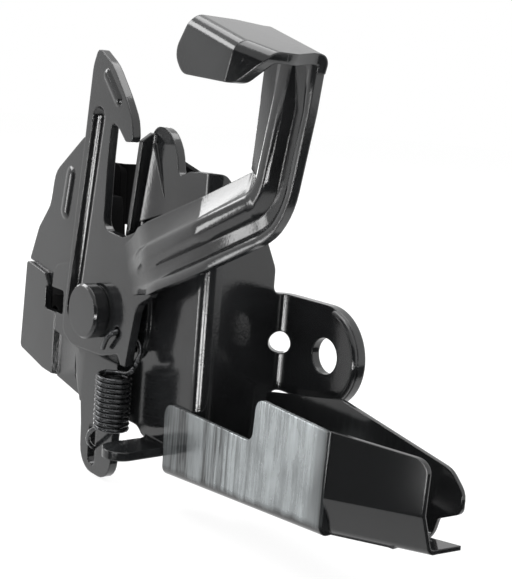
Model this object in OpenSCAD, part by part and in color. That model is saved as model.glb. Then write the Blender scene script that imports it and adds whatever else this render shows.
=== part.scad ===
// Bonnet latch: a stamped base with a striker slot, a rotary claw and pawl behind it,
// a sprung safety catch with a long finger lever in front, and a thin cable guard below.
// The drawing frame has its zero on the catch pivot, at the front face of the base.

/* [Base plate] */
// Thickness of the base sheet
base_t = 2.3; // [1.8:0.1:3]
// Height of the horn tops above the catch pivot
horn_top = 50; // [46:0.5:58]
// Distance from the catch pivot to the right fold
fold_x = 39.8; // [36:0.2:46]
// Depth of the side wall behind the front face
wall_depth = 24; // [16:0.5:34]
// Inner radius of the sheet folds
fold_r = 2.2; // [1.5:0.1:3.5]
// Height of the bottom edge below the catch pivot
base_bottom = 31; // [27:0.5:36]
// Width of the striker slot at its bottom
slot_w = 21; // [17:0.5:24]
// Height of the slot bottom above the catch pivot
slot_bottom = 14; // [11:0.5:18]
// How far the slot lip turns forward
slot_lip = 3.4; // [2.5:0.1:5]
// Forward step of the left flange
flange_step = 1.5; // [0.8:0.1:2.5]
// Reach of the left flange from the catch pivot
flange_reach = 54.5; // [50:0.5:62]
// Forward offset of the spring ear
ear_step = 4; // [2:0.25:5]
// Length of the forward stop tongue
tongue_len = 15; // [10:0.5:20]
// Width of the stop tongue
tongue_w = 9.5; // [7:0.5:12]
// Height of the pressed boss round the catch pivot
boss_h = 1.2; // [0.6:0.1:1.6]

/* [Bolt ear] */
// Reach of the ear past the right fold
ear_reach = 29; // [24:0.5:40]
// Radius of the ear's round end
ear_r = 12.5; // [10:0.25:15]
// Diameter of the bolt hole
bolt_d = 9; // [6.6:0.1:11]
// Distance of the bolt hole from the right fold
bolt_x = 17; // [14:0.25:20]
// Height of the bolt hole against the catch pivot
bolt_z = -2; // [-6:0.5:2]
// Diameter of the relief hole across the ear's fold
relief_d = 5.6; // [4:0.2:7]
// Height of the round ear rim
rim_h = 1.2; // [0.5:0.1:2]

/* [Safety catch] */
// Thickness of the catch sheet
catch_t = 2.3; // [1.8:0.1:3]
// Gap between the base and the catch
catch_gap = 4.7; // [3.5:0.1:6]
// Height of the hook above the pivot
hook_top = 68; // [62:0.5:76]
// Width of the lever strip
lever_w = 17; // [13:0.5:20]
// Forward joggle of the lever arm
lever_joggle = 3; // [1:0.25:5]
// Height of the ridge pressed along the lever
ridge_h = 1.6; // [0.8:0.1:2.4]
// Depth of the groove beside the ridge
groove_h = 1.1; // [0.4:0.1:1.8]
// Depth of the groove pressed in the hook arm
arm_groove = 2.4; // [1:0.1:3]
// Length of the finger tab
tab_len = 19; // [14:0.5:26]
// Width of the finger tab at the fold
tab_w = 18; // [14:0.5:22]
// Width of the finger tab at its lip
tab_front_w = 23; // [19:0.5:27]
// Drop of the finger lip
lip_drop = 12; // [9:0.5:16]
// Sideways tilt of the finger tab in degrees
tab_tilt = 18; // [10:1:25]
// Angle that the right end of the finger lip is bent back
lip_bend = 27; // [10:1:35]

/* [Catch pivot] */
// Diameter of the rivet head
head_d = 14.6; // [12:0.2:17]
// Thickness of the rivet head
head_t = 3.6; // [2:0.1:5]
// Diameter of the pivot shoulder
pivot_d = 10; // [8:0.1:11]
// Running clearance of the pivots, on radius
pivot_clear = 0.06; // [0.03:0.01:0.1]
// Outer diameter of the spacer bush
bush_d = 15; // [13:0.2:18]
// Thickness of the spring washer under the head
washer_t = 0.8; // [0.5:0.1:1.2]

/* [Catch spring] */
// Outer diameter of the spring
spring_d = 9.6; // [7:0.1:11]
// Wire diameter of the spring
wire_d = 1.3; // [1:0.05:1.6]
// Number of turns
spring_turns = 10; // [7:1:13]
// Length of the coil
spring_len = 14.5; // [12:0.5:18]

/* [Lock mechanism] */
// Thickness of the claw and of the pawl
lock_t = 4; // [3:0.25:5]
// End clearance of the claw and of the pawl
lock_gap = 0.5; // [0.3:0.05:0.8]
// Thickness of the rear plate
rear_t = 2; // [1.5:0.1:3]
// Radius of the claw from its pivot to its prong
claw_r = 38; // [36:0.25:39]
// Diameter of the lock pivots
lock_pivot_d = 8; // [6:0.1:9]
// Diameter of the lock rivet heads
lock_head_d = 13; // [11:0.2:15]
// Gap between the claw's edge and the pawl's nose
nose_gap = 0.4; // [0.3:0.05:0.8]
// How far the rear plate's slot lip turns back
rear_lip = 11; // [6:0.5:13]

/* [Cable guard] */
// Thickness of the guard sheet
guard_t = 1; // [0.7:0.05:1.4]
// Reach of the guard from the catch pivot
guard_reach = 108.5; // [100:0.5:120]
// Place of the bend in the front wall
guard_bend_x = 87; // [78:0.5:94]
// Angle that the front wall turns back after the bend
guard_bend = 19; // [8:1:26]
// Distance between the front and back walls
guard_depth = 20.5; // [16:0.5:24]
// Depth of the guard's floor below the catch pivot
guard_floor = 37; // [34:0.5:42]
// Rise of the guard's floor in degrees
guard_rise = 5; // [2:0.5:8]
// Height of the guard's top edge below the catch pivot
guard_top = 8.5; // [5:0.5:14]
// Depth of the stepped notch in the front wall
guard_notch = 10.5; // [6:0.5:13]
// Height of the turned under facet at the front wall's right end
guard_facet = 9; // [5:0.5:12]

/* [Hidden] */
$fn = 48;
eps = 0.01;
// Gap between flat faces that slide on each other
face_gap = 0.1;
// Gap between pieces that pass each other
pass_gap = 0.3;
// Longer than any piece of the latch
far = 300;

// Where the front faces of the sheets lie along the depth
catch_back = -catch_gap;
catch_front = catch_back - catch_t;
lock_front = base_t + lock_gap;
rear_front = base_t + lock_t + 2 * lock_gap;

// The bolt hole's seat on the vehicle, which is the part's own zero
seat = [fold_x + bolt_x, wall_depth + base_t, bolt_z];

// A point without its corner radius, a unit vector, and a vector turned a quarter to the left
function flat(p) = [p[0], p[1]];
function unit(v) = v / norm(v);
function left(v) = [-v[1], v[0]];
function cross2(a, b) = a[0] * b[1] - a[1] * b[0];

// The arc that rounds the corner at p between the directions to its two neighbours
function corner(p, to_last, to_next, r, step) =
  let (
    a = unit(to_last),
    b = unit(to_next),
    half = acos(max(-1, min(1, a * b))) / 2,
    reach = min(r / tan(half), 0.49 * norm(to_last), 0.49 * norm(to_next)),
    radius = reach * tan(half),
    turn = 180 - 2 * half,
    side = cross2(a, b) > 0 ? -1 : 1,
    middle = p + unit(a + b) * radius / sin(half),
    start = p + a * reach - middle,
    count = max(1, ceil(turn / step))
  )
  [for (i = [0 : count])
    let (t = side * turn * i / count)
    middle + [start[0] * cos(t) - start[1] * sin(t), start[0] * sin(t) + start[1] * cos(t)]];

// A closed outline of [x, y, corner radius] points with its corners rounded
function rounded(pts, step = 15) =
  let (n = len(pts))
  [for (i = [0 : n - 1])
    let (p = flat(pts[i]), last = flat(pts[(i + n - 1) % n]) - p, next = flat(pts[(i + 1) % n]) - p)
    each (pts[i][2] == 0 || abs(cross2(unit(last), unit(next))) < 0.001 ? [p]
      : corner(p, last, next, pts[i][2], step))];

// An open line of [x, y, corner radius] points with its corners rounded
function rounded_line(pts, step = 12) =
  let (n = len(pts))
  [for (i = [0 : n - 1])
    let (p = flat(pts[i]))
    each (i == 0 || i == n - 1 || pts[i][2] == 0 ? [p]
      : corner(p, flat(pts[i - 1]) - p, flat(pts[i + 1]) - p, pts[i][2], step))];

// The direction of a line of points at its point i
function heading(line, i) =
  let (n = len(line)) unit(line[min(n - 1, i + 1)] - line[max(0, i - 1)]);

// A sheet seen on edge: the outline of a folded line with a thickness
function folded(pts, t, step = 12) =
  let (line = rounded_line(pts, step), n = len(line))
  concat(
    [for (i = [0 : n - 1]) line[i] + left(heading(line, i)) * t / 2],
    [for (i = [n - 1 : -1 : 0]) line[i] - left(heading(line, i)) * t / 2]
  );

// Upright sheet with an outline in X and Z, from its front face back through t
module upright(front, t) {
  translate([0, front + t, 0])
    rotate([90, 0, 0])
      linear_extrude(t)
        children();
}

// Sheet with an outline in Y and Z, standing across X from x0 to x1
module across(x0, x1) {
  translate([x0, 0, 0])
    rotate([90, 0, 90])
      linear_extrude(x1 - x0)
        children();
}

// Round bar along Y, from y0 to y1, at x and z
module bar(x, z, y0, y1, d) {
  translate([x, y1, z])
    rotate([90, 0, 0])
      cylinder(d = d, h = y1 - y0);
}

// Puts the drawing's zero where the part's own zero asks for it
module in_place() {
  translate(-seat)
    children();
}

// The outline of a band of width d along a line of points, with round ends
function band(line, d) =
  let (n = len(line), r = d / 2, first = heading(line, 0), last = heading(line, n - 1))
  concat(
    [for (i = [0 : n - 1]) line[i] + r * left(heading(line, i))],
    [for (t = [75 : -15 : -75]) line[n - 1] + r * (cos(t) * last + sin(t) * left(last))],
    [for (i = [n - 1 : -1 : 0]) line[i] - r * left(heading(line, i))],
    [for (t = [75 : -15 : -75]) line[0] - r * (cos(t) * first + sin(t) * left(first))]
  );

// A round ended bar from a to b, whose middle line lies at the depth y
module capsule(a, b, y, r) {
  run = b - a;
  ends = [0 : 15 : 90];
  translate([a[0], y, a[1]])
    rotate([0, atan2(run[0], run[1]), 0])
      rotate_extrude()
        polygon(concat(
          [for (t = ends) [r * sin(t), -r * cos(t)]],
          [for (t = ends) [r * cos(t), norm(run) + r * sin(t)]]
        ));
}

// Base plate
slot_right = 6.3;
slot_left = slot_right - slot_w;
slot_lean = 0.16;
slot_low = slot_bottom + 6;
lip_top = horn_top - 2;
lip_foot = 21;
lip_t = 1.5;
lip_r = 1.6;
lobe_top = 45.5;
fold_top = 40;
horn_right = 24.3;
lobe_left = -42;
slit = 0.4;
slit_line = [[-53.4, 5.7], [-40.3, 3.6], [-37.6, -0.1]];
flange_low = -21.9;
flange_foot = -26.4;
step_x = -32.2;
ear_x = 0;
ear_low = -46.5;
ear_root = -28;
ear_half = 9.6;
ear_right = 7.4;
tongue_x = 21.5;
window = [-39.6, -29, -7.2, -0.1];
window_r = 1;
bead_d = 2.6;
bead_h = 0.9;
bead_r = 4.5;
hook_hole = [-3.6, -38.6];
hook_slot = [3.8, 8];
cone_d = 14;
rim_sink = 0.5;
rim_inset = 0.2;

function slot_right_at(z) = slot_right + (z - slot_low) * slot_lean;

// Front outline of the middle plate, from the right fold to the left flange
front_outline = rounded([
  [fold_x - fold_r - base_t, fold_top, 0],
  [horn_right + 4, fold_top - 0.4, 4],
  [horn_right, fold_top - 2.4, 2],
  [horn_right - 1.7, horn_top - 5.4, 9],
  [horn_right - 5.6, horn_top - 0.6, 7],
  [slot_right_at(horn_top) + 0.4, horn_top, 4],
  [slot_right_at(slot_low), slot_low, 4],
  [slot_right - 1, slot_bottom, 5],
  [slot_left + 1, slot_bottom, 5],
  [slot_left, slot_low, 4],
  [slot_left - 2, lobe_top - 3, 6],
  [slot_left - 8, lobe_top, 4],
  [lobe_left + 2.3, slot_low + 13.6, 7],
  [lobe_left, slot_low + 3.5, 7],
  [lobe_left - 6.6, slot_low - 4, 5],
  [slit_line[0][0], slit_line[0][1], 0.5],
  [slit_line[1][0], slit_line[1][1], 0],
  [slit_line[2][0], slit_line[2][1], 0],
  [step_x - 0.5, slit_line[2][1], 0],
  [step_x - 0.5, flange_foot, 0],
  [ear_x - ear_half - 8, ear_root - 1, 4],
  [ear_x + ear_half - 2, ear_root - 1, 3],
  [ear_x + ear_half + 3, ear_root - 1, 4],
  [tongue_x - 6.5, -base_bottom, 2],
  [fold_x - fold_r - base_t, -base_bottom, 0]
]);

// Outline of the left flange
flange_outline = rounded([
  [step_x + 8, slit_line[2][1] - slit, 0],
  [slit_line[2][0] - slit, slit_line[2][1] - slit, 0],
  [slit_line[1][0] - slit, slit_line[1][1] - slit, 0],
  [slit_line[0][0] + 1, slit_line[0][1] - slit, 1],
  [-flange_reach, flange_low, 1.5],
  [step_x - 7, flange_low - 3.5, 6],
  [step_x + 8, flange_foot, 0]
]);

// Outlines of the forward spring ear, of the drawn step above it, and of the step's foot on the plate
spring_ear_outline = rounded([
  [ear_x - ear_half - 2, ear_root + 4, 0],
  [ear_x - ear_half - 0.6, ear_root - 6, 10],
  [ear_x - ear_half, ear_low, 9],
  [ear_x + ear_half - 3, ear_low, 8],
  [ear_right - 0.6, ear_root - 6, 8],
  [ear_right, ear_root - 1, 1],
  [ear_right, ear_root + 4, 0]
]);
step_face = [
  [ear_x - ear_half - 2, ear_root],
  [ear_x - ear_half - 2, ear_root + 12],
  [ear_x - ear_half, ear_root + 14.5],
  [ear_right, ear_root + 14.5],
  [ear_right, ear_root]
];
step_foot = [
  [ear_x - ear_half - 7, ear_root],
  [ear_x - ear_half - 13, ear_root + 7],
  [ear_x - ear_half - 13, ear_root + 13],
  [ear_x - ear_half, ear_root + 19],
  [ear_right, ear_root + 19],
  [ear_right, ear_root]
];

// Side outline of the wall behind the right fold, in depth and height
wall_outline = rounded([
  [-1, fold_top, 0],
  [base_t + 0.6, fold_top, 3],
  [wall_depth - 8, fold_top - 13.5, 5],
  [wall_depth - 3.5, fold_top - 23, 4],
  [wall_depth - 3.5, bolt_z + ear_r, 2],
  [wall_depth + 2 * base_t, bolt_z + ear_r, 0],
  [wall_depth + 2 * base_t, bolt_z - ear_r, 0],
  [wall_depth - 2, bolt_z - ear_r, 2],
  [wall_depth - 3, -base_bottom + 3, 4],
  [base_t + 2, -base_bottom, 0],
  [-1, -base_bottom, 0]
]);

// The folded line of the right fold, the side wall and the bolt ear, seen from above
side_line = [
  [fold_x - fold_r - base_t - 3, base_t / 2, 0],
  [fold_x - base_t / 2, base_t / 2, fold_r + base_t / 2],
  [fold_x - base_t / 2, wall_depth + base_t / 2, fold_r + base_t / 2],
  [fold_x + ear_reach, wall_depth + base_t / 2, 0]
];

module side_wall_and_ear() {
  ear_mid = fold_x + ear_reach - ear_r;
  difference() {
    intersection() {
      linear_extrude(far, center = true)
        polygon(folded(side_line, base_t));
      across(0, fold_x + ear_reach + 1)
        polygon(wall_outline);
      upright(-1, wall_depth + 2 * base_t + 2)
        union() {
          translate([0, -base_bottom])
            square([ear_mid, base_bottom + horn_top]);
          translate([ear_mid, bolt_z])
            circle(r = ear_r);
        }
    }
    bar(seat[0], bolt_z, wall_depth - 1, wall_depth + base_t + 1, bolt_d);
    // Relief hole punched across the fold between the wall and the ear
    translate([fold_x, wall_depth, bolt_z])
      rotate([90, 0, 45])
        cylinder(d = relief_d, h = 6 * base_t, center = true);
  }
  // The rim turned forward round the ear's end
  translate([ear_mid, wall_depth, bolt_z])
    rotate([90, 0, 0])
      rotate([0, 0, -75])
        rotate_extrude(angle = 150)
          polygon([
            [ear_r - base_t, -rim_sink],
            [ear_r - rim_inset, -rim_sink],
            [ear_r - rim_inset, rim_h * 0.6],
            [ear_r - 0.8, rim_h],
            [ear_r - 1.2, rim_h]
          ]);
}

module left_flange() {
  flange_line = [
    [-flange_reach - 3, base_t / 2 - flange_step, 0],
    [step_x - flange_step, base_t / 2 - flange_step, 0],
    [step_x, base_t / 2, 0],
    [step_x + 8, base_t / 2, 0]
  ];
  intersection() {
    linear_extrude(far, center = true)
      polygon(folded(flange_line, base_t));
    upright(-far / 2, far)
      polygon(flange_outline);
  }
}

// The ear hangs from a step that is drawn forward out of the plate
module spring_ear() {
  upright(-ear_step, base_t)
    polygon(spring_ear_outline);
  hull() {
    upright(-ear_step, base_t)
      polygon(step_face);
    upright(0, base_t)
      polygon(step_foot);
  }
}

// Hollow behind the drawn step, one sheet deep under its face
module step_hollow() {
  left_end = ear_x - ear_half + base_t;
  hull() {
    upright(base_t - ear_step, base_t)
      polygon([for (p = step_face) [max(left_end, p[0] - base_t), p[1] - base_t]]);
    upright(base_t, base_t)
      polygon([for (p = step_foot) [max(left_end, p[0] - base_t), p[1] - base_t]]);
  }
}

module stop_tongue() {
  tongue_line = [
    [base_t / 2, -base_bottom + 6, 0],
    [base_t / 2, -base_bottom - base_t / 2, fold_r],
    [-tongue_len, -base_bottom - base_t / 2, 0]
  ];
  intersection() {
    across(tongue_x - tongue_w / 2, tongue_x + tongue_w / 2)
      polygon(folded(tongue_line, base_t));
    translate([tongue_x, 0, 0])
      linear_extrude(far, center = true)
        union() {
          translate([-tongue_w / 2, tongue_w / 2 - tongue_len])
            square([tongue_w, tongue_len + base_t]);
          translate([0, tongue_w / 2 - tongue_len])
            circle(d = tongue_w);
        }
  }
}

// Lip turned forward along the right side of the striker slot
module slot_side_lip() {
  lean = atan(slot_lean);
  length = (lip_top - lip_foot) / cos(lean);
  lip_line = [
    [7, lip_t / 2, 0],
    [lip_t / 2, lip_t / 2, lip_r],
    [lip_t / 2, -slot_lip, 0]
  ];
  intersection() {
    translate([slot_right_at(lip_foot), 0, lip_foot])
      rotate([0, lean, 0])
        linear_extrude(length)
          polygon(folded(lip_line, lip_t));
    across(-far / 2, far / 2)
      polygon(rounded([
        [8, lip_foot - 1, 0],
        [-slot_lip - 1, lip_foot - 1, 3],
        [-slot_lip - 1, lip_top - 3, 4],
        [lip_t / 2, lip_top + 1, 0],
        [8, lip_top + 1, 0]
      ]));
  }
}

// Pressed boss round the catch pivot, the slanting facet of the horn and the bead of the lobe
boss_outline = rounded([
  [16, 15, 10],
  [16, -13, 11],
  [-7, -13.8, 8],
  [-19, -15, 10],
  [-40, -11.5, 5],
  [-41.2, -1.6, 1.5],
  [-36.5, -0.9, 0],
  [-35.5, 7, 5],
  [-14, 10.5, 8]
]);
horn_facet = [[9.8, -1.6, 25], [13.4, -1.2, horn_top - 4.5], [20, 0.25, 28.5]];
lobe_bead = [[-30.6, 33.3], [-32.8, 23]];
low_groove = [[-20.6, -23.4], [-16.6, -27]];

module beads() {
  polyhedron(
    concat(horn_facet, [for (p = horn_facet) [p[0], base_t / 2, p[2]]]),
    [[0, 1, 2], [5, 4, 3], [3, 4, 1, 0], [4, 5, 2, 1], [5, 3, 0, 2]]
  );
  intersection() {
    capsule(lobe_bead[0], lobe_bead[1], bead_r - bead_h, bead_r);
    upright(-bead_r, bead_r + base_t / 2)
      square(far, center = true);
  }
}

module base_plate() {
  color([0.09, 0.095, 0.1])
    in_place()
      difference() {
        union() {
          upright(0, base_t)
            polygon(front_outline);
          upright(-boss_h, boss_h + eps)
            polygon(boss_outline);
          left_flange();
          spring_ear();
          stop_tongue();
          slot_side_lip();
          side_wall_and_ear();
          beads();
        }
        // Square relief window and the slit that runs to it from the edge
        upright(-far / 2, far)
          polygon(rounded([
            [window[0], window[2], window_r],
            [window[1], window[2], window_r],
            [window[1], window[3], window_r],
            [window[0], window[3], window_r]
          ]));
        step_hollow();
        // Hook slot of the catch spring in its ear
        upright(-ear_step - 1, base_t + 2)
          polygon(band([hook_hole + [0, hook_slot[1] / 2], hook_hole - [0, hook_slot[1] / 2]], hook_slot[0]));
        // Pressed groove beside the ear
        upright(-1, 1 + bead_h)
          polygon(band(low_groove, bead_d));
        // Hole for the catch rivet, opened to a cone at the back
        bar(0, 0, -boss_h - 1, base_t + 1, pivot_d - 2);
        translate([0, base_t + eps, 0])
          rotate([90, 0, 0])
            cylinder(d1 = cone_d - 2, d2 = pivot_d - 2, h = base_t * 0.7);
        // Blind seats of the lock rivets, which don't show in front
        bar(claw_at[0], claw_at[1], base_t - rivet_seat, base_t + 1, lock_pivot_d - 2);
        bar(pawl_at[0], pawl_at[1], base_t - rivet_seat, base_t + 1, lock_pivot_d - 2);
      }
}

// Lock mechanism
rivet_seat = 1.5;
lock_head_t = 1.6;
claw_at = [20, 20];
pawl_at = [-24, -8];
claw_hub = 9;
claw_travel = 34;
pawl_travel = 12;
mouth_left = -12;
mouth_right = 2.5;
prong_top = 29;

// Point on a circle round the claw's pivot
function round_claw(r, a) = claw_at + r * [cos(a), sin(a)];

claw_outline = concat(
  [for (a = [166 : 6 : 202]) round_claw(claw_r, a)],
  [round_claw(claw_r - 9, 206), round_claw(15, 215)],
  [for (a = [230 : 15 : 410]) round_claw(claw_hub, a)],
  [[mouth_right + 9, prong_top + 6], [mouth_right + 4, prong_top + 8], [mouth_right, prong_top + 5]],
  rounded_line([
    [mouth_right, 28, 0],
    [mouth_right, 15.5, 4.5],
    [mouth_left, 15.5, 4.5],
    [mouth_left, 26, 0]
  ]),
  [[mouth_left - 1, prong_top]]
);

module striker_claw() {
  color([0.55, 0.56, 0.57])
    in_place()
      difference() {
        upright(lock_front, lock_t)
          polygon(claw_outline);
        bar(claw_at[0], claw_at[1], 0, rear_front + 1, lock_pivot_d + 2 * pivot_clear);
        foot_hole(claw_at, claw_foot);
      }
}

nose_at = round_claw(claw_r + nose_gap, 197);
pawl_hub = 7.5;
cable_hole_d = 4;
cable_hole = [-41, -9];

pawl_outline = rounded([
  [nose_at[0], nose_at[1], 0],
  [nose_at[0] + 0.6, nose_at[1] - 6, 0.5],
  [pawl_at[0] + pawl_hub, pawl_at[1] + 3, 5],
  [pawl_at[0] + pawl_hub, pawl_at[1] - pawl_hub, 7],
  [pawl_at[0] - 4, pawl_at[1] - pawl_hub, 4],
  [cable_hole[0] - 4, cable_hole[1] - 5, 3.5],
  [cable_hole[0] - 4, cable_hole[1] + 5, 3.5],
  [pawl_at[0] - 6, pawl_at[1] + 6, 4],
  [nose_at[0] - 6, nose_at[1] - 1.5, 2]
]);

module release_pawl() {
  color([0.5, 0.51, 0.52])
    in_place()
      difference() {
        upright(lock_front, lock_t)
          polygon(pawl_outline);
        bar(pawl_at[0], pawl_at[1], 0, rear_front + 1, lock_pivot_d + 2 * pivot_clear);
        bar(cable_hole[0], cable_hole[1], 0, rear_front + 1, cable_hole_d);
        foot_hole(pawl_at, pawl_foot);
      }
}

// Shouldered rivet that joins the base and the rear plate and carries a lock piece
module lock_rivet(at) {
  bar(at[0], at[1], base_t, rear_front, lock_pivot_d);
  bar(at[0], at[1], base_t - rivet_seat, base_t + eps, lock_pivot_d - 2);
  bar(at[0], at[1], rear_front - eps, rear_front + rear_t, lock_pivot_d - 2);
  bar(at[0], at[1], rear_front + rear_t, rear_front + rear_t + lock_head_t, lock_head_d);
}

module claw_rivet() {
  color([0.6, 0.6, 0.6])
    in_place()
      lock_rivet(claw_at);
}

module pawl_rivet() {
  color([0.6, 0.6, 0.6])
    in_place()
      lock_rivet(pawl_at);
}

// Rear plate that closes the lock, with its own striker slot and a lip turned back along it.
// Its right edge goes by the claw's pivot, and its other corners lie from the catch's pivot.
rear_left = -53.5;
rear_left_ends = [-16, 3];
rear_shoulder = [-34, 30];
rear_foot = [-10, -20];
rear_top_left = 40;
rear_top_right = 42;
rear_past_claw = [12, 16];
rear_right_low = 4;
rear_corner = 8;
rear_right_corner = 10;
rear_lip_root = 7;
rear_lip_top = 38;
rear_lip_span = [slot_low + 1, rear_lip_top];
rear_outline = rounded([
  [claw_at[0] + rear_past_claw[0], claw_at[1] + rear_past_claw[1], 6],
  [slot_right_at(rear_top_right), rear_top_right, 3],
  [slot_right_at(slot_low), slot_low, 4],
  [slot_right - 1, slot_bottom, 5],
  [slot_left + 1, slot_bottom, 5],
  [slot_left, slot_low, 4],
  [slot_left - 1, rear_top_left, 3],
  [rear_shoulder[0], rear_shoulder[1], rear_corner],
  [rear_left, rear_left_ends[1], 5],
  [rear_left, rear_left_ends[0], 6],
  [rear_foot[0], rear_foot[1], rear_corner],
  [claw_at[0] + rear_past_claw[0], rear_right_low, rear_right_corner]
]);

module rear_plate() {
  color([0.07, 0.075, 0.08])
    in_place()
      difference() {
        union() {
          upright(rear_front, rear_t)
            polygon(rear_outline);
          translate([0, 0, rear_lip_span[0]])
            linear_extrude(rear_lip_span[1] - rear_lip_span[0])
              polygon(folded([
                [slot_left - rear_lip_root, rear_front + rear_t / 2, 0],
                [slot_left - rear_t, rear_front + rear_t / 2, fold_r],
                [slot_left - rear_t, rear_front + rear_lip, 0]
              ], rear_t));
        }
        bar(claw_at[0], claw_at[1], 0, rear_front + rear_t + 1, lock_pivot_d - 2);
        bar(pawl_at[0], pawl_at[1], 0, rear_front + rear_t + 1, lock_pivot_d - 2);
        foot_slot(claw_at, claw_foot, claw_foot + claw_travel);
        foot_slot(pawl_at, pawl_foot, pawl_foot + pawl_travel);
      }
}

// Torsion spring behind the rear plate: a coil round the rivet head, a free leg along the
// plate, and a foot that reaches through a curved slot into the claw or the pawl
lock_wire = 1.4;
torsion_turns = 3;
foot_r = 11;
foot_clear = 0.4;
coil_r = lock_head_d / 2 + lock_wire;
coil_back = rear_front + rear_t + pass_gap;
free_leg = 12;
claw_foot = 190;
claw_leg = 60;
pawl_foot = 75;
pawl_leg = 200;

// Point at radius r and angle a round a pivot
function round_pivot(at, r, a) = at + r * [cos(a), sin(a)];

module torsion_spring(at, foot, leg) {
  first = coil_back + lock_wire / 2;
  last = first + (torsion_turns - 1) * lock_wire;
  tip = round_pivot(at, foot_r, foot);
  for (i = [0 : torsion_turns - 1])
    translate([at[0], first + i * lock_wire, at[1]])
      rotate([90, 0, 0])
        rotate_extrude()
          translate([coil_r, 0])
            circle(d = lock_wire + eps, $fn = 16);
  translate([at[0], first, at[1]])
    rotate([0, 90 - foot, 0])
      translate([0, 0, coil_r])
        cylinder(d = lock_wire, h = foot_r - coil_r, $fn = 16);
  bar(tip[0], tip[1], lock_front + lock_t / 2, first + lock_wire / 2, lock_wire);
  translate([at[0], last, at[1]])
    rotate([0, 90 - leg, 0])
      translate([0, 0, coil_r])
        cylinder(d = lock_wire, h = free_leg, $fn = 16);
}

// Curved slot in the rear plate for a spring's foot, over the travel of the piece it turns
module foot_slot(at, from, to) {
  width = lock_wire + 2 * foot_clear;
  margin = atan(width / 2 / foot_r);
  translate([at[0], rear_front + rear_t + 1, at[1]])
    rotate([90, 0, 0])
      rotate([0, 0, from - margin])
        rotate_extrude(angle = to - from + 2 * margin)
          translate([foot_r - width / 2, 0])
            square([width, rear_t + 2]);
}

module foot_hole(at, a) {
  tip = round_pivot(at, foot_r, a);
  bar(tip[0], tip[1], lock_front + lock_t / 2, lock_front + lock_t + 1, lock_wire);
}

module claw_spring() {
  color([0.45, 0.46, 0.47])
    in_place()
      torsion_spring(claw_at, claw_foot, claw_leg);
}

module pawl_spring() {
  color([0.45, 0.46, 0.47])
    in_place()
      torsion_spring(pawl_at, pawl_foot, pawl_leg);
}

// Safety catch
hook_outline = rounded([
  [-6.2, hook_top + 0.8, 1.8],
  [1.4, hook_top - 3.7, 14],
  [8.4, hook_top - 11.6, 26],
  [12.4, hook_top - 17.2, 8],
  [13.2, hook_top - 22.7, 1.9],
  [9.7, hook_top - 22.8, 1.5],
  [6.4, hook_top - 19.8, 4],
  [2.4, hook_top - 17.6, 2.5],
  [1.4, hook_top - 28, 30],
  [0.9, 22, 3.5],
  [11, 21, 0],
  [22, 25, 0],
  [26, 8.5, 2],
  [19.5, 5, 5],
  [16.9, -6.5, 3],
  [15.8, -12, 0.8],
  [13.6, -11.8, 0.8],
  [12, -9.2, 1.5],
  [4, -11.5, 6],
  [-13, -12, 7],
  [-18.3, -9, 3],
  [-14.6, 20, 40],
  [-11, hook_top - 23, 40],
  [-8.6, hook_top - 4, 8]
]);
spring_hole = [11, -3.6];
spring_hole_d = 3;
arm_line = [[-4.4, hook_top - 17.6], [-12.9, -2]];
arm_groove_w = 6.4;
arm_wall = 1.5;
arm_groove_r = arm_groove / 2 + arm_groove_w * arm_groove_w / 8 / arm_groove;
hook_rib = [[-1.2, hook_top - 6.4], [5, hook_top - 12.6]];
hook_rib_r = 2.2;
hook_rib_h = 0.8;

// Middle line of the lever in X and Z, from the pivot plate to the finger tab
tab_at = [73.2, 70.2];
tab_leg = 4;
lever_root = [14, 13];
elbow = [67, 36.5];
elbow_r = 10;
column_top = tab_at - (tab_leg - 1) * [sin(tab_tilt), cos(tab_tilt)];
lever_line = rounded_line([
  [lever_root[0], lever_root[1], 0],
  [lever_root[0] + 5, lever_root[1] + 2, 0],
  [lever_root[0] + 10, lever_root[1] + 4, 0],
  [lever_root[0] + 16, lever_root[1] + 6.3, 0],
  [elbow[0] - 18, elbow[1] - 9.3, 30],
  [elbow[0], elbow[1], elbow_r],
  [tab_at[0] - 2, tab_at[1] - 13.2, 0],
  [column_top[0], column_top[1], 0]
], 7);

// Length of the lever's middle line up to its point i
function run(i) = i == 0 ? 0 : run(i - 1) + norm(lever_line[i] - lever_line[i - 1]);

// Forward offset of the strip, strength of its ridge, width, and fall of its upper flange along its run
flange_back = 2.6;
lever_run = run(len(lever_line) - 1);
lever_forward = [[0, 0], [4, 0], [14, lever_joggle], [40, lever_joggle], [56, 0], [200, 0]];
ridge_fade = [[0, 0], [3, 0], [19, 1], [lever_run - 11, 1], [lever_run - 6, 0], [200, 0]];
lever_widen = [[0, 0.75], [10, 1], [200, 1]];
flange_fall = [
  [0, 0],
  [24, 0],
  [44, flange_back],
  [58, flange_back],
  [66, 0.3 * flange_back],
  [lever_run - 6, 0],
  [200, 0]
];

// Section of the strip: place across it, height of its front face, and share in the flange's fall
lever_section = [
  [-1, 0.25 * ridge_h, 0],
  [-0.86, 0.35 * ridge_h, 0],
  [-0.72, 0, 0],
  [-0.6, -groove_h, 0],
  [-0.3, -groove_h, 0],
  [-0.12, 0.8 * ridge_h, 0],
  [0, ridge_h, 0],
  [0.22, ridge_h, 0],
  [0.34, 0.7 * ridge_h, 0],
  [0.46, 0, 0],
  [1, 0, 1]
];

// Height of the strip's front face after a run s, at one place of its section
function lever_height(s, place) =
  lookup(s, ridge_fade) * place[1] - lookup(s, flange_fall) * place[2];

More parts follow.
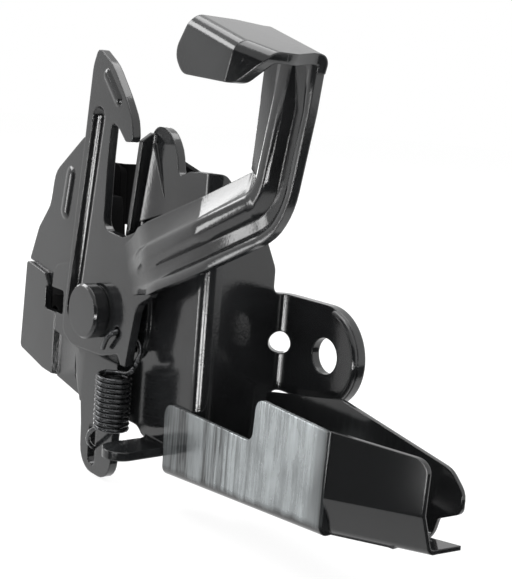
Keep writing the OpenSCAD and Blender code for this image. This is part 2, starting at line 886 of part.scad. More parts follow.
module lever() {
  n = len(lever_line);
  m = len(lever_section);
  skin = 0.05;
  points = [
    for (i = [0 : n - 1])
      let (
        at = lever_line[i],
        side = left(heading(lever_line, i)),
        s = run(i),
        front = catch_front + skin - lookup(s, lever_forward),
        half = lever_w / 2 * lookup(s, lever_widen)
      )
      each concat(
        [for (k = [0 : m - 1])
          let (p = at + side * half * lever_section[k][0])
          [p[0], front - lever_height(s, lever_section[k]), p[1]]],
        [for (k = [m - 1 : -1 : 0])
          let (p = at + side * half * lever_section[k][0])
          [p[0], front + catch_t - 2 * skin - lever_height(s, lever_section[k]), p[1]]]
      )
  ];
  ring = 2 * m;
  sides = [
    for (i = [0 : n - 2], k = [0 : ring - 1])
      let (a = i * ring + k, b = i * ring + (k + 1) % ring)
      each [[a, b, b + ring], [a, b + ring, a + ring]]
  ];
  caps = [
    for (k = [0 : m - 2])
      let (a = k, b = k + 1, c = ring - 2 - k, d = ring - 1 - k, last = (n - 1) * ring)
      each [[a, c, b], [a, d, c], [last + a, last + b, last + c], [last + a, last + c, last + d]]
  ];
  polyhedron(points, concat(sides, caps));
}

// Finger tab folded forward from the column's top, with its lip turned down and the lip's
// right end bent back
tab_fold_r = 0.7;
bend_x = 5.5;
lip_outline = rounded([
  [-tab_front_w / 2 + 0.6, 2, 0],
  [-tab_front_w / 2 + 0.6, -1, 4],
  [-tab_front_w / 2 - 2, -lip_drop + 3, 3.5],
  [-tab_front_w / 2 + 2.4, -lip_drop, 4],
  [tab_front_w / 2 - 4, -lip_drop + 3.8, 4],
  [tab_front_w / 2 + 0.4, -1.8, 2],
  [tab_front_w / 2, 2, 0]
], 10);

// Section of the tab from a depth at the back over the fold and down the lip
function tab_section(back, front) = folded([
  [back, -catch_t / 2, 0],
  [front + catch_t / 2, -catch_t / 2, tab_fold_r + catch_t / 2],
  [front + catch_t / 2, -lip_drop - 4, 0]
], catch_t, 10);

module finger_tab() {
  front = catch_front - tab_len;
  fold_deep = tab_fold_r + catch_t + pass_gap;
  swing = tab_front_w * tan(lip_bend);
  leg = folded([
    [catch_front + catch_t / 2, -tab_leg, 0],
    [catch_front + catch_t / 2, -catch_t / 2, tab_fold_r + catch_t / 2],
    [catch_front - tab_len / 2, -catch_t / 2, 0]
  ], catch_t, 10);
  plan = [
    [-tab_w / 2, catch_back + 1],
    [-tab_w / 2, catch_front - 2],
    [-tab_front_w / 2 - 2, front + 3],
    [-tab_front_w / 2 - 2, front - 1]
  ];
  side = [
    [tab_front_w / 2 + 1, front + fold_deep + swing / 2],
    [tab_w / 2, catch_front - 2],
    [tab_w / 2, catch_back + 1]
  ];
  translate([tab_at[0], 0, tab_at[1]])
    rotate([0, tab_tilt, 0])
      intersection() {
        union() {
          intersection() {
            union() {
              across(-tab_front_w, tab_front_w)
                polygon(leg);
              across(-tab_front_w, tab_front_w)
                polygon(tab_section(catch_front - 3, front));
            }
            translate([0, 0, -2 * lip_drop])
              linear_extrude(3 * lip_drop)
                polygon(concat(plan, [[bend_x, front - 1], [bend_x, front + fold_deep + 0.6]], side));
          }
          intersection() {
            translate([bend_x, front, 0])
              rotate([0, 0, lip_bend])
                across(-3, tab_front_w)
                  polygon(tab_section(tab_len / 2, 0));
            translate([bend_x - eps, front - 1, -2 * lip_drop])
              cube([tab_front_w, tab_len / 2, 3 * lip_drop]);
          }
        }
        upright(front - 2, tab_len + 10)
          polygon(lip_outline);
      }
}

module safety_catch() {
  groove_y = catch_front + arm_groove - arm_groove_r;
  color([0.1, 0.105, 0.11])
    in_place() {
      difference() {
        union() {
          upright(catch_front, catch_t)
            polygon(hook_outline);
          // Back of the pressed groove, which stands out behind the arm
          intersection() {
            capsule(arm_line[0], arm_line[1], groove_y, arm_groove_r + arm_wall);
            upright(catch_back - catch_t / 2, 2 * catch_t)
              square(far, center = true);
          }
          // Rib pressed along the hook's back
          intersection() {
            capsule(hook_rib[0], hook_rib[1], catch_front + hook_rib_r - hook_rib_h, hook_rib_r);
            upright(catch_front - hook_rib_r, hook_rib_r + catch_t / 2)
              square(far, center = true);
          }
          lever();
          finger_tab();
        }
        capsule(arm_line[0], arm_line[1], groove_y, arm_groove_r);
        bar(0, 0, catch_front - 5, catch_back + 5, pivot_d + 2 * pivot_clear);
        bar(spring_hole[0], spring_hole[1], catch_front - 5, catch_back + 5, spring_hole_d);
      }
    }
}

// Catch pivot
module catch_bush() {
  color([0.4, 0.4, 0.41])
    in_place()
      difference() {
        bar(0, 0, catch_back + face_gap, -boss_h, bush_d);
        bar(0, 0, catch_back - 1, 1, pivot_d + 2 * pivot_clear);
      }
}

module catch_washer() {
  color([0.5, 0.5, 0.5])
    in_place()
      difference() {
        bar(0, 0, catch_front - face_gap - washer_t, catch_front - face_gap, head_d - 1);
        bar(0, 0, catch_front - 5, catch_back, pivot_d + 2 * pivot_clear);
      }
}

module catch_rivet() {
  head_back = catch_front - washer_t - 2 * face_gap;
  color([0.12, 0.125, 0.13])
    in_place() {
      bar(0, 0, head_back - eps, -boss_h, pivot_d);
      bar(0, 0, -boss_h - eps, base_t, pivot_d - 2);
      translate([0, base_t, 0])
        rotate([90, 0, 0])
          cylinder(d1 = cone_d - 2, d2 = pivot_d - 2, h = base_t * 0.7);
      translate([0, head_back, 0])
        rotate([90, 0, 0])
          rotate_extrude()
            polygon([
              [0, 0],
              [head_d / 2, 0],
              [head_d / 2, head_t - 0.6],
              [head_d / 2 - 0.6, head_t],
              [0, head_t]
            ]);
    }
}

// Catch spring: a close coil with a hook at each end
spring_axis = [spring_hole[0] + 0.6, catch_front - 0.5];
spring_top = -15;
coil_start = -180;
coil_end = 360 * spring_turns + 180;

function coil_point(a) =
  let (r = (spring_d - wire_d) / 2, z = spring_top - spring_len * (a - coil_start) / (coil_end - coil_start))
  [spring_axis[0] + r * cos(a), spring_axis[1] + r * sin(a), z];

// A smooth curve that passes through a list of points
function through(p, steps) = [
  for (i = [0 : len(p) - 2], k = [0 : steps - 1])
    let (
      a = p[max(0, i - 1)],
      b = p[i],
      c = p[i + 1],
      d = p[min(len(p) - 1, i + 2)],
      t = k / steps
    )
    0.5 * (2 * b + (c - a) * t + (2 * a - 5 * b + 4 * c - d) * t * t + (3 * b - a - 3 * c + d) * t * t * t)
];

// Upper hook: from its free end in front, back through the catch's hole and round its tip to the coil
upper_hook = [
  [spring_hole[0] - 4.4, catch_front - 1.3, spring_hole[1] - 5.2],
  [spring_hole[0] - 1.8, catch_front - 1.7, spring_hole[1] - 1.8],
  [spring_hole[0], catch_front - 0.5, spring_hole[1]],
  [spring_hole[0] + 0.2, catch_back + 0.2, spring_hole[1]],
  [spring_hole[0] + 2.4, catch_back + 1.5, spring_hole[1] - 1],
  [spring_hole[0] + 6, catch_back + 1.3, spring_hole[1] - 3.4],
  [spring_hole[0] + 7.9, catch_back - 0.6, spring_hole[1] - 6.4],
  [spring_hole[0] + 5.6, catch_back - 1.2, spring_top + 1.7],
  [spring_hole[0], catch_back - 0.8, spring_top + 0.4],
  coil_point(coil_start)
];

// Lower hook: from the coil's left side down and back through the slot of the ear
lower_hook = [
  coil_point(coil_end),
  [hook_hole[0] + 6, spring_axis[1] - 0.6, hook_hole[1] + 6],
  [hook_hole[0] + 2.4, -ear_step - 2.6, hook_hole[1] + 2],
  [hook_hole[0] + 0.9, -ear_step + base_t / 2, hook_hole[1] - 1.2],
  [hook_hole[0] + 1.2, base_t - ear_step + 1.6, hook_hole[1] - 0.2]
];

module wire(points, d) {
  sides = 8;
  n = len(points);
  rings = [
    for (i = [0 : n - 1])
      let (
        along = unit(points[min(n - 1, i + 1)] - points[max(0, i - 1)]),
        hint = abs(along[2]) > 0.9 ? [1, 0, 0] : [0, 0, 1],
        u = unit(cross(hint, along)),
        v = cross(along, u)
      )
      each [for (k = [0 : sides - 1])
        let (a = 360 * k / sides)
        points[i] + d / 2 * (cos(a) * u + sin(a) * v)]
  ];
  skin = [
    for (i = [0 : n - 2], k = [0 : sides - 1])
      let (a = i * sides + k, b = i * sides + (k + 1) % sides)
      each [[a, b + sides, b], [a, a + sides, b + sides]]
  ];
  first = [[for (k = [0 : sides - 1]) k]];
  last = [[for (k = [sides - 1 : -1 : 0]) (n - 1) * sides + k]];
  polyhedron(rings, concat(skin, first, last));
}

module catch_spring() {
  color([0.2, 0.2, 0.2])
    in_place()
      wire(
        concat(
          through(upper_hook, 4),
          [for (a = [coil_start : 24 : coil_end - 1]) coil_point(a)],
          through(lower_hook, 4),
          [lower_hook[len(lower_hook) - 1]]
        ),
        wire_d
      );
}

// Cable guard
guard_front = -guard_t;
guard_back = guard_front + guard_depth;
guard_left = 27;
notch_x = 62.5;
slope = tan(guard_rise);

function floor_at(x) = -guard_floor + (x - 40) * slope;

guard_fold_r = 1.6;
guard_front_outline = rounded([
  [guard_left, floor_at(guard_left) - 3, 0],
  [guard_left, floor_at(guard_left) + 4, 4],
  [guard_left - 0.6, -guard_top - guard_notch, 3],
  [notch_x - 0.3, -guard_top - guard_notch, 2.4],
  [notch_x + 0.3, -guard_top, 2.4],
  [guard_bend_x, -guard_top - 1, 0],
  [guard_reach, -guard_top - 2, 3],
  [guard_reach, floor_at(guard_reach) - 3, 0]
]);

guard_back_outline = rounded([
  [fold_x + 3, floor_at(fold_x) - 3, 0],
  [fold_x + 3, -guard_top - 5.5, 0],
  [notch_x + 7.5, -guard_top - 0.5, 6],
  [guard_reach - 4, -guard_top - 6.5, 5],
  [guard_reach, -guard_top - 10.5, 4],
  [guard_reach, -guard_top - 15, 2],
  [guard_reach - 6, -guard_top - 18, 1],
  [guard_reach - 8, floor_at(guard_reach) - 3, 0]
]);

// The line of the bent front wall seen from above, at a distance behind its front face
function bent_wall(x, behind) =
  [x, guard_front + behind / cos(guard_bend) + (x - guard_bend_x) * tan(guard_bend)];

// One side of the guard: an upright wall with a folded foot that runs into the floor
module guard_wall(front, way, length) {
  foot = front + way * guard_depth * 0.6;
  across(0, length)
    polygon(folded([
      [front + way * guard_t / 2, guard_floor, 0],
      [front + way * guard_t / 2, guard_t / 2, guard_fold_r + guard_t / 2],
      [foot, guard_t / 2, 0]
    ], guard_t));
}

// Stands a piece drawn along the guard's floor on its rising line
module on_floor(x) {
  translate([x, 0, floor_at(x)])
    rotate([0, -guard_rise, 0])
      children();
}

module cable_guard() {
  facet_back = guard_facet * 0.4;
  color([0.16, 0.17, 0.18])
    in_place() {
      // Straight front wall, with its rising floor
      intersection() {
        on_floor(guard_left - 6)
          guard_wall(guard_front, 1, 2 * guard_reach);
        upright(guard_front - 1, guard_depth + 2)
          polygon(guard_front_outline);
        translate([0, 0, -2 * guard_floor])
          linear_extrude(3 * guard_floor)
            polygon([
              [guard_left - 6, guard_front - 1],
              [guard_bend_x, guard_front - 1],
              bent_wall(guard_bend_x, facet_back),
              bent_wall(guard_reach + 4, facet_back),
              [guard_reach + 4, guard_back],
              [guard_left + 10, guard_back]
            ]);
      }
      // Right end of the front wall, bent back, with its foot turned under as a facet
      intersection() {
        on_floor(guard_bend_x)
          translate([0, guard_front, 0])
            rotate([0, 0, guard_bend])
              across(-2 * guard_t, guard_reach)
                polygon(folded([
                  [guard_t / 2, guard_floor, 0],
                  [guard_t / 2, guard_facet, 3],
                  [facet_back, guard_t / 2, 2],
                  [facet_back + 3, guard_t / 2, 0]
                ], guard_t));
        upright(guard_front - 1, guard_depth + 2)
          polygon(guard_front_outline);
        translate([guard_bend_x - eps, guard_front - 1, -2 * guard_floor])
          cube([guard_reach, guard_depth + 2, 3 * guard_floor]);
      }
      // Back wall
      intersection() {
        on_floor(guard_left - 6)
          guard_wall(guard_back, -1, 2 * guard_reach);
        upright(guard_front - 1, guard_depth + 2)
          polygon(guard_back_outline);
      }
      // Tongue of the floor past the walls
      intersection() {
        on_floor(guard_left - 6)
          cube([2 * guard_reach, guard_depth, guard_t]);
        translate([0, 0, -2 * guard_floor])
          linear_extrude(3 * guard_floor)
            polygon([
              [guard_reach - 12, bent_wall(guard_reach - 12, facet_back + 2)[1]],
              bent_wall(guard_reach, facet_back + 2),
              [guard_reach + 1, guard_back - 1],
              [guard_reach - 8, guard_back - guard_fold_r - guard_t],
              [guard_reach - 12, guard_back - guard_fold_r - guard_t]
            ]);
      }
    }
}

base_plate();
rear_plate();
striker_claw();
claw_rivet();
claw_spring();
release_pawl();
pawl_rivet();
pawl_spring();
safety_catch();
catch_bush();
catch_washer();
catch_rivet();
catch_spring();
cable_guard();
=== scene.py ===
"""Looks of a pressed steel bonnet latch: gloss black paint, a sprung catch and a drawn guard."""

import math

import bmesh
import bpy
from mathutils import Matrix, Vector


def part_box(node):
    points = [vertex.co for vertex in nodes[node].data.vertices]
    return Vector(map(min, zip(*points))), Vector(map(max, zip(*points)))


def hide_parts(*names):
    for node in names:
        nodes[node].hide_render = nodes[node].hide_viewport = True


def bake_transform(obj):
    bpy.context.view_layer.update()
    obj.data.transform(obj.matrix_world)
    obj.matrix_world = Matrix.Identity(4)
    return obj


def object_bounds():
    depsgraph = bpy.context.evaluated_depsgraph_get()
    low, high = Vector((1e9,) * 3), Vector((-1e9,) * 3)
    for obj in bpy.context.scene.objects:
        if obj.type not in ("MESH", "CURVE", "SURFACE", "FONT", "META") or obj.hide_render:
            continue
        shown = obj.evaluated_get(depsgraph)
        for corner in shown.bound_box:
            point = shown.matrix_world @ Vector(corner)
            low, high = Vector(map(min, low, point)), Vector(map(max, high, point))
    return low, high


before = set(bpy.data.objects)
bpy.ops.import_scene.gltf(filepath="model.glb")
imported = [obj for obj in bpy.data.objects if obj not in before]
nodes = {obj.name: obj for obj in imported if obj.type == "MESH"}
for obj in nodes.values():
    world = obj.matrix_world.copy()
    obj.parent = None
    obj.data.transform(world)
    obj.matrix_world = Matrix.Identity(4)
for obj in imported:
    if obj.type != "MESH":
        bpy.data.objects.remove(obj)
cad_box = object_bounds()


# Base plate and rear plate
# Two stampings of steel sheet, riveted together. The base is dipped in gloss black paint, which
# pools a little in the pressings and shows a fine orange peel. The rear plate has a dull black coat,
# with painted shade on its faces towards the lock.
MM = 0.001
thin_paint = (0.012, 0.0125, 0.013)
pooled_paint = (0.02, 0.021, 0.022)
paint_ior = 1.62
# The colour of the painted shade on the rear plate's faces towards the lock.
painted_shade_black = (0.004, 0.004, 0.0043)
satin = (0.024, 0.0245, 0.025)
weld_reach = 0.002 * MM


class Shade:
    """One socket of a material's nodes, on which arithmetic adds Math nodes."""

    def __init__(self, tree, socket=None):
        self.tree = tree
        self.socket = socket

    def node(self, kind, settings=None, sockets=None, output=0):
        """Any node: its settings are set first, then the values or links of its sockets."""
        made = self.tree.nodes.new("ShaderNode" + kind)
        for name, value in (settings or {}).items():
            setattr(made, name, value)
        for name, value in (sockets or {}).items():
            if isinstance(value, Shade):
                self.tree.links.new(value.socket, made.inputs[name])
            else:
                made.inputs[name].default_value = value
        return Shade(self.tree, made.outputs[output] if made.outputs else None)

    def math(self, operation, first, second):
        return self.node("Math", {"operation": operation}, {0: first, 1: second})

    def __add__(self, other):
        return self.math("ADD", self, other)

    def __sub__(self, other):
        return self.math("SUBTRACT", self, other)

    def __rsub__(self, other):
        return self.math("SUBTRACT", other, self)

    def __mul__(self, other):
        return self.math("MULTIPLY", self, other)

    __radd__ = __add__
    __rmul__ = __mul__


def finish_named(name):
    """A new material without nodes, and the socket maker for its tree."""
    finish = bpy.data.materials.new(name)
    finish.use_nodes = True
    finish.node_tree.nodes.clear()
    return finish, Shade(finish.node_tree)


def mottle(shade, scale, detail, stretch=(1, 1, 1), distortion=0.0):
    """Noise over the surface with about scale blots to the metre, stretched along an axis."""
    place = shade.node("TexCoord", output="Object")
    spread = shade.node("Mapping", {"vector_type": "POINT"}, {"Vector": place, "Scale": stretch})
    sockets = {"Vector": spread, "Scale": scale, "Detail": detail, "Distortion": distortion}
    return shade.node("TexNoise", None, sockets, "Fac")


def blend_colours(shade, share, first, second):
    """The first colour where share is 0, the second where it is 1."""
    # The Mix node's colour sockets go by their place, because its A and B sockets share their names.
    colour_a, colour_b, colour_out = 6, 7, 2
    sockets = {"Factor": share, colour_a: (*first, 1), colour_b: (*second, 1)}
    return shade.node("Mix", {"data_type": "RGBA"}, sockets, colour_out)


def between(shade, value, span, to=(0.0, 1.0)):
    """The value's stretch over span, mapped to another stretch and held at its ends."""
    low, high = span
    to_low, to_high = to
    sockets = {"Value": value, "From Min": low, "From Max": high, "To Min": to_low, "To Max": to_high}
    return shade.node("MapRange", None, sockets)


def steel_surface(shade, colour, roughness, height, depth, edge, others):
    """A surface with edges rolled to a radius, bumps up to a depth, and its other sockets."""
    rolled = shade.node("Bevel", {"samples": 6}, {"Radius": edge})
    relief = {"Height": height, "Distance": depth, "Strength": 1.0, "Normal": rolled}
    normal = shade.node("Bump", None, relief)
    sockets = {"Base Color": colour, "Roughness": roughness, "Normal": normal, **others}
    surface = shade.node("BsdfPrincipled", None, sockets)
    shade.node("OutputMaterial", None, {"Surface": surface})


def gloss_black(name, smooth, rough, wave_depth, edge):
    """Dip paint: nearly black, clear gloss, with slow waves in it and a fine orange peel."""
    finish, shade = finish_named(name)
    pool = mottle(shade, scale=70.0, detail=3.0)
    peel = 0.4 * mottle(shade, scale=1400.0, detail=2.0)
    waves = mottle(shade, scale=55.0, detail=1.5)
    colour = blend_colours(shade, between(shade, pool, (0.35, 0.65)), thin_paint, pooled_paint)
    roughness = between(shade, pool + peel, (0.5, 0.9), (smooth, rough))
    steel_surface(shade, colour, roughness, waves + peel, wave_depth, edge, {"IOR": paint_ior})
    return finish


def dull_black(name):
    """Thin dull coat with painted shade, nearly black and without gloss where it faces the lock,
    and with a satin gloss on the outer side.
    """
    finish, shade = finish_named(name)
    cloud = mottle(shade, scale=120.0, detail=4.0)
    facing = shade.node("NewGeometry", output="Normal")
    outward = shade.node("SeparateXYZ", None, {"Vector": facing}, "Y")
    outer = between(shade, outward, (0.3, 0.8))
    # Painted shade: faces towards the lock get the darker colour and no coat gloss.
    colour = blend_colours(shade, outer * cloud, painted_shade_black, satin)
    roughness = between(shade, cloud, (0.3, 0.7), (0.55, 0.7))
    gloss = {"Coat Weight": outer, "Coat Roughness": 0.22, "Coat IOR": 1.55}
    others = {"Specular IOR Level": 0.03, **gloss}
    steel_surface(shade, colour, roughness, cloud, 0.02 * MM, 0.3 * MM, others)
    return finish


def dress(node, finish):
    """Gives a node's own solid a finish."""
    nodes[node].data.materials.clear()
    nodes[node].data.materials.append(finish)


def shade_folds(node, crease=30):
    """Shades a piece smoothly over its folds and arcs, and keeps its flats flat. Edges sharper than
    the crease, in degrees, stay crisp."""
    piece = nodes[node]
    if "custom_normal" in piece.data.attributes:
        piece.data.attributes.remove(piece.data.attributes["custom_normal"])
    piece.data.shade_smooth()
    weld = piece.modifiers.new("one_skin", "WELD")
    weld.merge_threshold = weld_reach
    flats = piece.modifiers.new("flats", "DECIMATE")
    flats.decimate_type = "DISSOLVE"
    flats.angle_limit = math.radians(0.5)
    creases = piece.modifiers.new("creases", "EDGE_SPLIT")
    creases.split_angle = math.radians(crease)
    shading = piece.modifiers.new("shading", "WEIGHTED_NORMAL")
    shading.mode = "FACE_AREA"
    shading.weight = 50


plate_paint = gloss_black(
    "gloss_black_plate", smooth=0.07, rough=0.16, wave_depth=0.04 * MM, edge=0.6 * MM
)
plate_coat = dull_black("dull_black_plate")
for plate, finish in (("base_plate", plate_paint), ("rear_plate", plate_coat)):
    dress(plate, finish)
    shade_folds(plate)


# Claw and pawl
# Two levers blanked from thick steel plate, phosphated matt black and oiled, between the two plates.
matt_black = (0.004, 0.004, 0.0042)
oiled_black = (0.01, 0.0102, 0.0105)


def blackened_steel(name, dull, bright, smooth, rough, others):
    """Blackened steel: dark, with a cloudy film of oil and fine grinding lines."""
    finish, shade = finish_named(name)
    bloom = mottle(shade, scale=160.0, detail=4.0)
    lines = mottle(shade, scale=300.0, detail=2.0, stretch=(1, 1, 14))
    colour = blend_colours(shade, bloom, dull, bright)
    roughness = between(shade, bloom, (0.3, 0.7), (smooth, rough))
    steel_surface(shade, colour, roughness, lines, 0.01 * MM, 0.3 * MM, others)
    return finish


lever_steel = blackened_steel(
    "phosphated_lever_steel",
    matt_black,
    oiled_black,
    smooth=0.4,
    rough=0.6,
    others={"Specular IOR Level": 0.03},
)
for lever in ("striker_claw", "release_pawl"):
    dress(lever, lever_steel)
    shade_folds(lever)


# Lock rivets and catch bush
# Turned steel, oiled black. The shouldered rivets are upset behind the rear plate and carry the claw
# and the pawl. The bush spaces the catch from the base.
dark_steel = (0.008, 0.008, 0.0083)
oiled_steel = (0.024, 0.0245, 0.025)
rivet_steel = blackened_steel(
    "oiled_rivet_steel",
    dark_steel,
    oiled_steel,
    smooth=0.26,
    rough=0.42,
    others={"Metallic": 0.9},
)
for rivet in ("claw_rivet", "pawl_rivet", "catch_bush"):
    dress(rivet, rivet_steel)
    shade_folds(rivet)


# Lock springs
# Torsion springs of oil blackened wire, wound round the rivet heads behind the rear plate.
dark_wire = (0.035, 0.036, 0.038)
bright_wire = (0.09, 0.092, 0.095)


def spring_wire(name):
    """Blackened spring wire: dark metal under a thin, cloudy film of oil."""
    finish, shade = finish_named(name)
    film = mottle(shade, scale=700.0, detail=3.0)
    colour = blend_colours(shade, film, dark_wire, bright_wire)
    roughness = between(shade, film, (0.3, 0.7), (0.18, 0.34))
    others = {"Metallic": 0.75, "IOR": 1.6}
    steel_surface(shade, colour, roughness, film, 0.01 * MM, 0.1 * MM, others)
    return finish


black_wire = spring_wire("black_spring_wire")
for spring in ("claw_spring", "pawl_spring"):
    dress(spring, black_wire)


# Safety catch
# One stamping with a grooved hook, a joggled and ridged lever and a folded finger tab, dipped in
# the same gloss black as the base plate, which it swings in front of.
catch_paint = gloss_black(
    "gloss_black_catch", smooth=0.08, rough=0.18, wave_depth=0.04 * MM, edge=0.5 * MM
)
dress("safety_catch", catch_paint)
shade_folds("safety_catch", crease=40)


# Catch pivot
# A headed steel rivet with a washer under its head, painted with the rest of the latch.
rivet_paint = gloss_black(
    "gloss_black_rivet", smooth=0.12, rough=0.24, wave_depth=0.03 * MM, edge=0.3 * MM
)
for piece in ("catch_rivet", "catch_washer"):
    dress(piece, rivet_paint)
    shade_folds(piece)


# Catch spring
# A close wound extension spring of round wire, hooked into the catch above and into the base's
# ear below.
def round_wire(node, name):
    """A smooth copy of a spring's solid."""
    shape = bmesh.new()
    shape.from_mesh(nodes[node].data)
    bmesh.ops.remove_doubles(shape, verts=shape.verts, dist=weld_reach)
    bmesh.ops.join_triangles(
        shape,
        faces=shape.faces,
        angle_face_threshold=math.radians(60),
        angle_shape_threshold=math.radians(180),
    )
    mesh = bpy.data.meshes.new(name)
    shape.to_mesh(mesh)
    shape.free()
    piece = bpy.data.objects.new(name, mesh)
    bpy.context.scene.collection.objects.link(piece)
    mesh.shade_smooth()
    return piece


coil = round_wire("catch_spring", "catch_spring_wire")
coil.data.materials.append(black_wire)
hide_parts("catch_spring")
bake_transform(coil)


# Cable guard
# A tray drawn from thin sheet. The drawing die has scored its straight front wall upright through
# the thin black coat, so grey metal shows there. The grey there is also a painted reflection of the
# pale floor, fainter towards the left end. The bent end and the inside kept their gloss.
guard_coat = (0.014, 0.0145, 0.015)
# The grey is partly bare metal in the die's scores and partly a painted reflection of the pale floor.
scored_metal_and_reflection = (0.52, 0.555, 0.565)
guard_low, guard_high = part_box("cable_guard")
bend_place = guard_high.x - 21.5 * MM
front_wall = guard_low.y + 1.2 * MM
guard_rise = math.tan(math.radians(5))


def scored_reflecting_black(name, left_end, grey_to, grey_deep, low, rise):
    """Thin gloss coat, with grey on the front wall between two lengths, up to a depth, and above the
    rounded lower edge, which is low at the left end and rises along the wall. The grey is partly
    bare scores and partly a painted reflection of the pale floor."""
    right_fade = (grey_to - 4.6 * MM, grey_to + 0.4 * MM)
    depth_fade = (grey_deep, grey_deep + 0.4 * MM)
    foot_fade = (2.6 * MM, 4.2 * MM)
    left_fade_run = (left_end, left_end + 30 * MM)
    smeared_run = (left_end + 24 * MM, left_end + 40 * MM)
    ragged = 2.0 * MM
    finish, shade = finish_named(name)
    place = shade.node("TexCoord", output="Object")
    along = shade.node("SeparateXYZ", None, {"Vector": place}, "X")
    deep = shade.node("SeparateXYZ", None, {"Vector": place}, "Y")
    high = shade.node("SeparateXYZ", None, {"Vector": place}, "Z") - low - rise * (along - left_end)
    scores = mottle(shade, scale=420.0, detail=3.0, stretch=(1, 1, 0.03))
    fine = mottle(shade, scale=1600.0, detail=2.0, stretch=(1, 1, 0.05))
    patch = mottle(shade, scale=90.0, detail=3.0, stretch=(1, 1, 0.7))
    smear = mottle(shade, scale=170.0, detail=6.0, stretch=(1, 1, 0.45), distortion=0.5)
    streak = between(shade, 0.55 * scores + 0.45 * fine, (0.4, 0.62))
    wall = between(shade, along + ragged * patch, right_fade, (1.0, 0.0))
    wall = wall * between(shade, deep, depth_fade, (1.0, 0.0))
    wall = wall * between(shade, high + ragged * scores, foot_fade)
    # The painted reflection and the scores grow fainter towards the left end.
    left_end_fade = between(shade, along, left_fade_run, (0.3, 0.88))
    streaked_grey = left_end_fade * between(shade, 0.9 * streak + patch, (0.45, 1.2), (0.1, 1.0))
    smeared_grey = between(shade, 0.2 * streak + 0.25 * fine + smear, (0.4, 0.95), (0.45, 1.0))
    smeared_share = between(shade, along, smeared_run)
    # Where the grey shows: die scores and painted reflection together.
    scores_and_reflection = wall * (streaked_grey + smeared_share * (smeared_grey - streaked_grey))
    colour = blend_colours(shade, scores_and_reflection, guard_coat, scored_metal_and_reflection)
    roughness = between(shade, scores_and_reflection, (0.0, 1.0), (0.1, 0.34))
    others = {"Metallic": scores_and_reflection, "IOR": paint_ior}
    steel_surface(shade, colour, roughness, streak * wall, 0.02 * MM, 0.4 * MM, others)
    return finish


guard_finish = scored_reflecting_black(
    "scored_reflecting_black_guard", guard_low.x, bend_place, front_wall, guard_low.z, guard_rise
)
dress("cable_guard", guard_finish)
shade_folds("cable_guard")


# Floor and light
# A plain white sweep under a large soft box, with smaller ones that draw the folds and pressings, and
# black cards round the camera's side that keep the faces turned that way dark.
plain_white = (1, 1, 1, 1)
floor_white = (0.9, 0.9, 0.9, 1)
floor_half = 6.0
floor_z = cad_box[0].z - 0.5 * MM
floor_glow = 1.15
glow_share = 0.78
dusk_span = (-0.6, -0.47)
middle = (cad_box[0] + cad_box[1]) / 2


def rays_seen(shade):
    """1 for what the camera sees, straight, in a polished face or through glass, 0 for other light."""
    camera = shade.node("LightPath", output="Is Camera Ray")
    glossy = shade.node("LightPath", output="Is Glossy Ray")
    through = shade.node("LightPath", output="Is Transmission Ray")
    return shade.math("MAXIMUM", camera, shade.math("MAXIMUM", glossy, through))


def stage_sheet(name, corners, faces):
    """A sheet of the studio, which isn't part of the latch."""
    mesh = bpy.data.meshes.new(name)
    mesh.from_pydata(corners, [], faces)
    thing = bpy.data.objects.new(name, mesh)
    bpy.context.scene.collection.objects.link(thing)
    return thing


floor = stage_sheet(
    "floor",
    [(x * floor_half, y * floor_half, floor_z) for x, y in ((-1, -1), (1, -1), (1, 1), (-1, 1))],
    [(0, 1, 2, 3)],
)
white, shade = finish_named("white_sweep")
lit = shade.node("BsdfDiffuse", None, {"Color": floor_white})
plain = shade.node("Emission", None, {"Color": plain_white, "Strength": floor_glow})
shown = shade.node("MixShader", None, {0: glow_share * rays_seen(shade), 1: lit, 2: plain})
shade.node("OutputMaterial", None, {"Surface": shown})
floor.data.materials.append(white)
floor.visible_glossy = False

world = bpy.data.worlds.new("studio")
bpy.context.scene.world = world
world.use_nodes = True
world.node_tree.nodes.clear()
sky = Shade(world.node_tree)
room, backdrop, dusk = (
    sky.node("Background", None, {"Color": plain_white, "Strength": strength})
    for strength in (0.5, 1.0, 0.75)
)
facing = sky.node("SeparateXYZ", None, {"Vector": sky.node("TexCoord", output="Generated")}, "Y")
polished = sky.node("LightPath", output="Is Glossy Ray")
turned = polished * between(sky, facing, dusk_span, (1.0, 0.0))
falling = sky.node("MixShader", None, {0: turned, 1: backdrop, 2: dusk})
seen = sky.node("MixShader", None, {0: rays_seen(sky), 1: room, 2: falling})
sky.node("OutputWorld", None, {"Surface": seen})


def black_card(name, turn_from, turn_to, top, fade):
    """An upright black wall round the object between two turns, which fades out at its top."""
    radius, low, steps = 0.9, -0.7, 12
    felt_black = (0.02, 0.02, 0.02, 1)
    turns = [math.radians(turn_from + (turn_to - turn_from) * i / steps) for i in range(steps + 1)]
    rim = [(radius * math.sin(turn), -radius * math.cos(turn)) for turn in turns]
    card = stage_sheet(
        name,
        [(x, y, low) for x, y in rim] + [(x, y, top) for x, y in rim],
        [(i, i + 1, i + steps + 2, i + steps + 1) for i in range(steps)],
    )
    felt, shade = finish_named(name)
    place = shade.node("TexCoord", output="Object")
    high = shade.node("SeparateXYZ", None, {"Vector": place}, "Z")
    dark = shade.node("BsdfDiffuse", None, {"Color": felt_black})
    clear = shade.node("BsdfTransparent")
    thinning = between(shade, high, (top - fade, top))
    cover = shade.node("MixShader", None, {0: thinning, 1: dark, 2: clear})
    shade.node("OutputMaterial", None, {"Surface": cover})
    card.data.materials.append(felt)
    card.visible_camera = False
    card.visible_diffuse = False
    card.visible_shadow = False
    card.visible_transmission = False


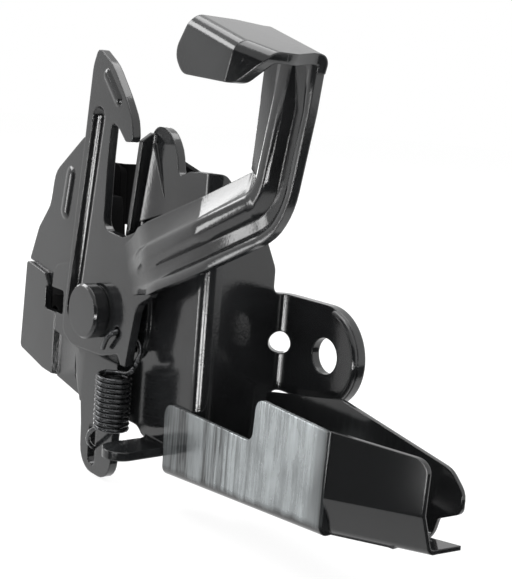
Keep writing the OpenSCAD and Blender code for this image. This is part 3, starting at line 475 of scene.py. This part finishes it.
black_card("front_card", turn_from=-23.3, turn_to=75, top=0.32, fade=0.02)
black_card("back_card", turn_from=75, turn_to=142, top=-0.14, fade=0.06)


def soft_box(name, offset, width, height, power):
    """A soft lamp, set off from the object's middle, which it looks at."""
    lamp = bpy.data.lights.new(name, "AREA")
    lamp.shape = "RECTANGLE"
    lamp.size = width
    lamp.size_y = height
    lamp.energy = power
    thing = bpy.data.objects.new(name, lamp)
    bpy.context.scene.collection.objects.link(thing)
    place = middle + Vector(offset)
    thing.location = place
    thing.rotation_euler = (middle - place).to_track_quat("-Z", "Y").to_euler()
    thing.visible_camera = False


soft_box("top_box", (-0.1, 0.1, 1.1), width=1.2, height=1.2, power=14)
soft_box("left_box", (-0.88, -0.51, 0.64), width=0.9, height=0.36, power=6.5)
soft_box("front_strip", (-0.588, -0.809, -0.09), width=0.14, height=0.34, power=1.0)
soft_box("side_box", (-0.915, 0.351, -0.03), width=0.46, height=0.34, power=2)
soft_box("low_box", (0.15, -0.81, -0.205), width=0.18, height=0.13, power=1.1)
soft_box("right_box", (0.405, -0.75, -0.205), width=0.14, height=0.13, power=0.9)


# Camera
# It stands to the right of the front and a little above, as a hand held shot of the part would.
camera_place = Vector((189.47, -177.58, 56.52)) * MM
azimuth, elevation, roll = (math.radians(angle) for angle in (51.2, 9.15, 4.62))
right = Vector((math.cos(azimuth), math.sin(azimuth), 0))
back = Vector((
    math.sin(azimuth) * math.cos(elevation),
    -math.cos(azimuth) * math.cos(elevation),
    math.sin(elevation),
))
up = back.cross(right)
across = math.cos(roll) * right + math.sin(roll) * up
upward = math.cos(roll) * up - math.sin(roll) * right
turning = Matrix((across, upward, back)).transposed().to_4x4()
lens = bpy.data.cameras.new("camera")
lens.sensor_width = 36.0
lens.lens = 67.15
lens.clip_start = 0.01
lens.clip_end = 50.0
shot = bpy.data.objects.new("camera", lens)
bpy.context.scene.collection.objects.link(shot)
shot.matrix_world = Matrix.Translation(camera_place) @ turning
bpy.context.scene.camera = shot
bpy.context.scene.view_settings.view_transform = "Standard"
